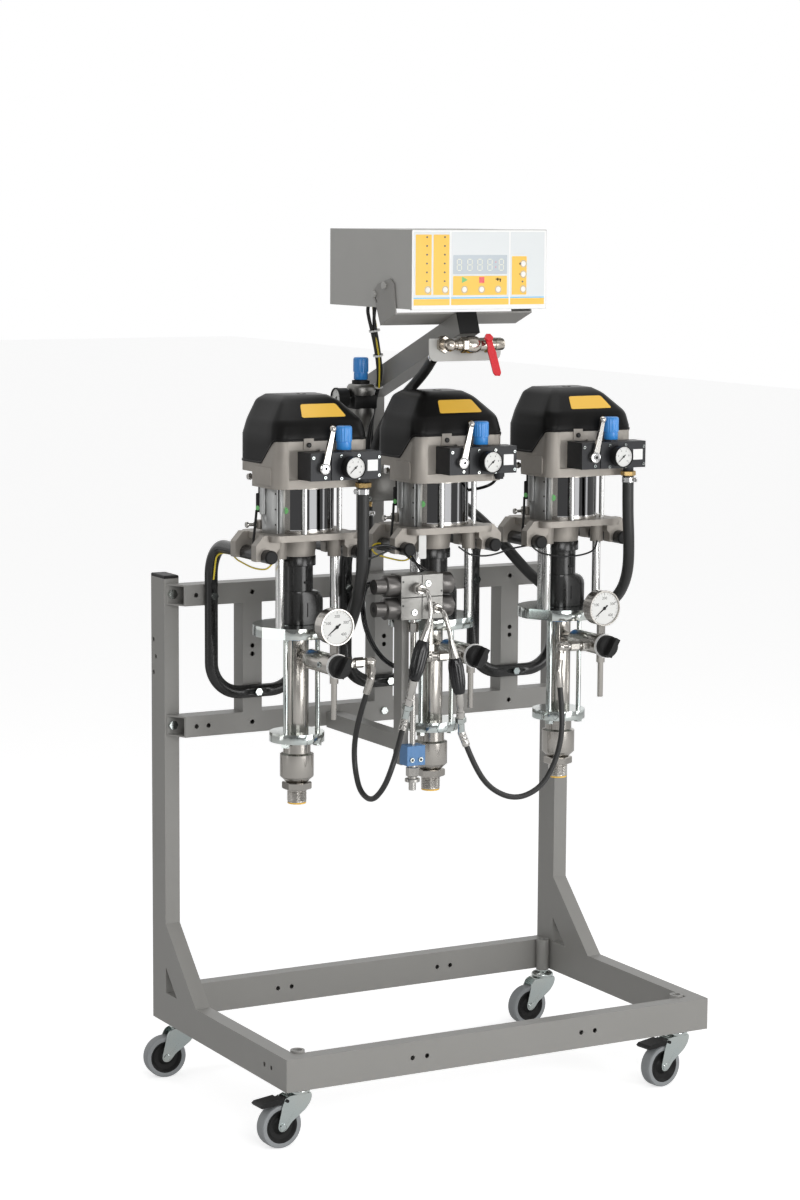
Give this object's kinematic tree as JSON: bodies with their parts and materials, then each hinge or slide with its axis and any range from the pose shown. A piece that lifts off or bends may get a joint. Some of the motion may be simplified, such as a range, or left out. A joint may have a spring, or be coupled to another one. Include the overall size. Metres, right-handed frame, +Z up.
{
  "type": "two-component dosing system",
  "caption": "Mobile dosing unit: air-driven piston pumps on a bracket frame and caster trolley, with mixing block, hoses and a tilting control box on an arm.",
  "frame": {"origin": "bottom centre of the bounding box without its hoses, on the floor", "axes": "+X along the front rail to the right as seen by the operator, +Y from the operator to the back, +Z up"},
  "size_m": [0.9425, 0.575, 1.626],
  "materials": {
    "grey_paint": "satin",
    "black_paint": "satin",
    "light_grey_paint": "satin",
    "zinc": "satin",
    "stainless": "satin",
    "chrome": "polished",
    "cast_aluminium": "matte",
    "bright_aluminium": "satin",
    "black_plastic": "matte",
    "blue_plastic": "gloss",
    "red_plastic": "gloss",
    "white_plastic": "matte",
    "black_rubber": "matte",
    "grey_rubber": "matte"
  },
  "bodies": {
    "trolley": {"trolley_frame": "grey_paint", "carrier_frame": "grey_paint", "support_arms": "grey_paint", "frame_bolts": "zinc", "end_plugs": "black_plastic", "bracket_tubes": "black_paint", "base_castings": "cast_aluminium", "motor_cylinders": "bright_aluminium", "motor_heads": "cast_aluminium", "motor_covers": "black_plastic", "coupling_guards": "black_plastic", "clamp_sets": "zinc", "fluid_cylinders": "stainless", "inlet_valves": "stainless", "relief_valves": "stainless", "pressure_gauges": "stainless", "air_control_blocks": "black_paint", "mixing_block": "bright_aluminium", "dosing_valves": "black_paint", "feed_lines": "stainless", "pipe_clamp": "blue_plastic", "air_inlet_set": "chrome", "hose_a": "black_rubber", "hose_b": "black_rubber", "air_hose_left": "black_rubber", "air_hose_right": "black_rubber", "air_hose_main": "black_rubber"},
    "caster_fork_front_left": {"caster_fork_front_left": "zinc"},
    "caster_wheel_front_left": {"caster_wheel_front_left": "grey_rubber"},
    "brake_pedal_front_left": {"brake_pedal_front_left": "zinc"},
    "caster_fork_front_right": {"caster_fork_front_right": "zinc"},
    "caster_wheel_front_right": {"caster_wheel_front_right": "grey_rubber"},
    "brake_pedal_front_right": {"brake_pedal_front_right": "zinc"},
    "caster_fork_rear_left": {"caster_fork_rear_left": "zinc"},
    "caster_wheel_rear_left": {"caster_wheel_rear_left": "grey_rubber"},
    "caster_fork_rear_right": {"caster_fork_rear_right": "zinc"},
    "caster_wheel_rear_right": {"caster_wheel_rear_right": "grey_rubber"},
    "pump_rod_left": {"pump_rod_left": "stainless"},
    "shutoff_lever_left": {"shutoff_lever_left": "chrome"},
    "regulator_knob_left": {"regulator_knob_left": "blue_plastic"},
    "relief_knob_left": {"relief_knob_left": "black_plastic"},
    "pump_rod_middle": {"pump_rod_middle": "stainless"},
    "shutoff_lever_middle": {"shutoff_lever_middle": "chrome"},
    "regulator_knob_middle": {"regulator_knob_middle": "blue_plastic"},
    "relief_knob_middle": {"relief_knob_middle": "black_plastic"},
    "pump_rod_right": {"pump_rod_right": "stainless"},
    "shutoff_lever_right": {"shutoff_lever_right": "chrome"},
    "regulator_knob_right": {"regulator_knob_right": "blue_plastic"},
    "relief_knob_right": {"relief_knob_right": "black_plastic"},
    "regulator_knob_main": {"regulator_knob_main": "blue_plastic"},
    "inlet_lever": {"inlet_lever": "red_plastic"},
    "control_box": {"control_box": "light_grey_paint"},
    "key_mode_one": {"key_mode_one": "white_plastic"},
    "key_mode_two": {"key_mode_two": "white_plastic"},
    "key_start": {"key_start": "white_plastic"},
    "key_stop": {"key_stop": "white_plastic"},
    "key_gun": {"key_gun": "white_plastic"},
    "key_plus": {"key_plus": "white_plastic"},
    "key_minus": {"key_minus": "white_plastic"},
    "key_set": {"key_set": "white_plastic"}
  },
  "joints": [
    {"name": "swivel_front_left", "type": "hinge", "parent": "trolley", "child": "caster_fork_front_left", "pos_m": [-0.3855, -0.2442, 0.1], "axis": [0, 0, 1], "continuous": true},
    {"name": "wheel_front_left", "type": "hinge", "parent": "caster_fork_front_left", "child": "caster_wheel_front_left", "pos_m": [-0.42345, -0.24619, 0.04], "axis": [0.0523, -0.9986, 0], "continuous": true},
    {"name": "pedal_front_left", "type": "hinge", "parent": "caster_fork_front_left", "child": "brake_pedal_front_left", "pos_m": [-0.41546, -0.24577, 0.087], "axis": [0.0523, -0.9986, 0], "range_deg": [0, 8]},
    {"name": "swivel_front_right", "type": "hinge", "parent": "trolley", "child": "caster_fork_front_right", "pos_m": [0.4279, -0.2442, 0.1], "axis": [0, 0, 1], "continuous": true},
    {"name": "wheel_front_right", "type": "hinge", "parent": "caster_fork_front_right", "child": "caster_wheel_front_right", "pos_m": [0.39027, -0.24949, 0.04], "axis": [0.1392, -0.9903, 0], "continuous": true},
    {"name": "pedal_front_right", "type": "hinge", "parent": "caster_fork_front_right", "child": "brake_pedal_front_right", "pos_m": [0.39819, -0.24838, 0.087], "axis": [0.1392, -0.9903, 0], "range_deg": [0, 8]},
    {"name": "swivel_rear_left", "type": "hinge", "parent": "trolley", "child": "caster_fork_rear_left", "pos_m": [-0.3855, 0.2442, 0.1], "axis": [0, 0, 1], "continuous": true},
    {"name": "wheel_rear_left", "type": "hinge", "parent": "caster_fork_rear_left", "child": "caster_wheel_rear_left", "pos_m": [-0.42335, 0.24751, 0.04], "axis": [-0.0872, -0.9962, 0], "continuous": true},
    {"name": "swivel_rear_right", "type": "hinge", "parent": "trolley", "child": "caster_fork_rear_right", "pos_m": [0.4279, 0.2442, 0.1], "axis": [0, 0, 1], "continuous": true},
    {"name": "wheel_rear_right", "type": "hinge", "parent": "caster_fork_rear_right", "child": "caster_wheel_rear_right", "pos_m": [0.38999, 0.24155, 0.04], "axis": [0.0698, -0.9976, 0], "continuous": true},
    {"name": "stroke_left", "type": "slide", "parent": "trolley", "child": "pump_rod_left", "axis": [0, 0, 1], "range_m": [-0.03, 0.03]},
    {"name": "shutoff_left", "type": "hinge", "parent": "trolley", "child": "shutoff_lever_left", "pos_m": [-0.2883, -0.15, 1.2025], "axis": [0, -1, 0], "range_deg": [0, 90]},
    {"name": "air_pressure_left", "type": "hinge", "parent": "trolley", "child": "regulator_knob_left", "pos_m": [-0.2338, -0.126, 1.24], "axis": [0, 0, 1], "continuous": true},
    {"name": "relief_left", "type": "hinge", "parent": "trolley", "child": "relief_knob_left", "pos_m": [-0.2638, -0.165, 0.845], "axis": [0, -1, 0], "range_deg": [0, 90]},
    {"name": "stroke_middle", "type": "slide", "parent": "trolley", "child": "pump_rod_middle", "axis": [0, 0, 1], "range_m": [-0.03, 0.03]},
    {"name": "shutoff_middle", "type": "hinge", "parent": "trolley", "child": "shutoff_lever_middle", "pos_m": [-0.0033, -0.15, 1.2025], "axis": [0, -1, 0], "range_deg": [0, 90]},
    {"name": "air_pressure_middle", "type": "hinge", "parent": "trolley", "child": "regulator_knob_middle", "pos_m": [0.0512, -0.126, 1.24], "axis": [0, 0, 1], "continuous": true},
    {"name": "relief_middle", "type": "hinge", "parent": "trolley", "child": "relief_knob_middle", "pos_m": [0.0212, -0.165, 0.845], "axis": [0, -1, 0], "range_deg": [0, 90]},
    {"name": "stroke_right", "type": "slide", "parent": "trolley", "child": "pump_rod_right", "axis": [0, 0, 1], "range_m": [-0.03, 0.03]},
    {"name": "shutoff_right", "type": "hinge", "parent": "trolley", "child": "shutoff_lever_right", "pos_m": [0.2817, -0.15, 1.2025], "axis": [0, -1, 0], "range_deg": [0, 90]},
    {"name": "air_pressure_right", "type": "hinge", "parent": "trolley", "child": "regulator_knob_right", "pos_m": [0.3362, -0.126, 1.24], "axis": [0, 0, 1], "continuous": true},
    {"name": "relief_right", "type": "hinge", "parent": "trolley", "child": "relief_knob_right", "pos_m": [0.3062, -0.165, 0.845], "axis": [0, -1, 0], "range_deg": [0, 90]},
    {"name": "air_pressure_main", "type": "hinge", "parent": "trolley", "child": "regulator_knob_main", "pos_m": [-0.0408, 0.172, 1.35], "axis": [0, 0, 1], "continuous": true},
    {"name": "inlet_shutoff", "type": "hinge", "parent": "trolley", "child": "inlet_lever", "pos_m": [0.0462, -0.142, 1.417], "axis": [0, -0.8192, 0.5736], "range_deg": [0, 90]},
    {"name": "box_tilt", "type": "hinge", "parent": "trolley", "child": "control_box", "pos_m": [0.0212, -0.073, 1.524], "axis": [1, 0, 0], "range_deg": [-18, 0]},
    {"name": "press_mode_one", "type": "slide", "parent": "control_box", "child": "key_mode_one", "axis": [0, 1, 0], "range_m": [0, 0.0008], "stiffness_N_per_m": 2000},
    {"name": "press_mode_two", "type": "slide", "parent": "control_box", "child": "key_mode_two", "axis": [0, 1, 0], "range_m": [0, 0.0008], "stiffness_N_per_m": 2000},
    {"name": "press_start", "type": "slide", "parent": "control_box", "child": "key_start", "axis": [0, 1, 0], "range_m": [0, 0.0008], "stiffness_N_per_m": 2000},
    {"name": "press_stop", "type": "slide", "parent": "control_box", "child": "key_stop", "axis": [0, 1, 0], "range_m": [0, 0.0008], "stiffness_N_per_m": 2000},
    {"name": "press_gun", "type": "slide", "parent": "control_box", "child": "key_gun", "axis": [0, 1, 0], "range_m": [0, 0.0008], "stiffness_N_per_m": 2000},
    {"name": "press_plus", "type": "slide", "parent": "control_box", "child": "key_plus", "axis": [0, 1, 0], "range_m": [0, 0.0008], "stiffness_N_per_m": 2000},
    {"name": "press_minus", "type": "slide", "parent": "control_box", "child": "key_minus", "axis": [0, 1, 0], "range_m": [0, 0.0008], "stiffness_N_per_m": 2000},
    {"name": "press_set", "type": "slide", "parent": "control_box", "child": "key_set", "axis": [0, 1, 0], "range_m": [0, 0.0008], "stiffness_N_per_m": 2000}
  ]
}
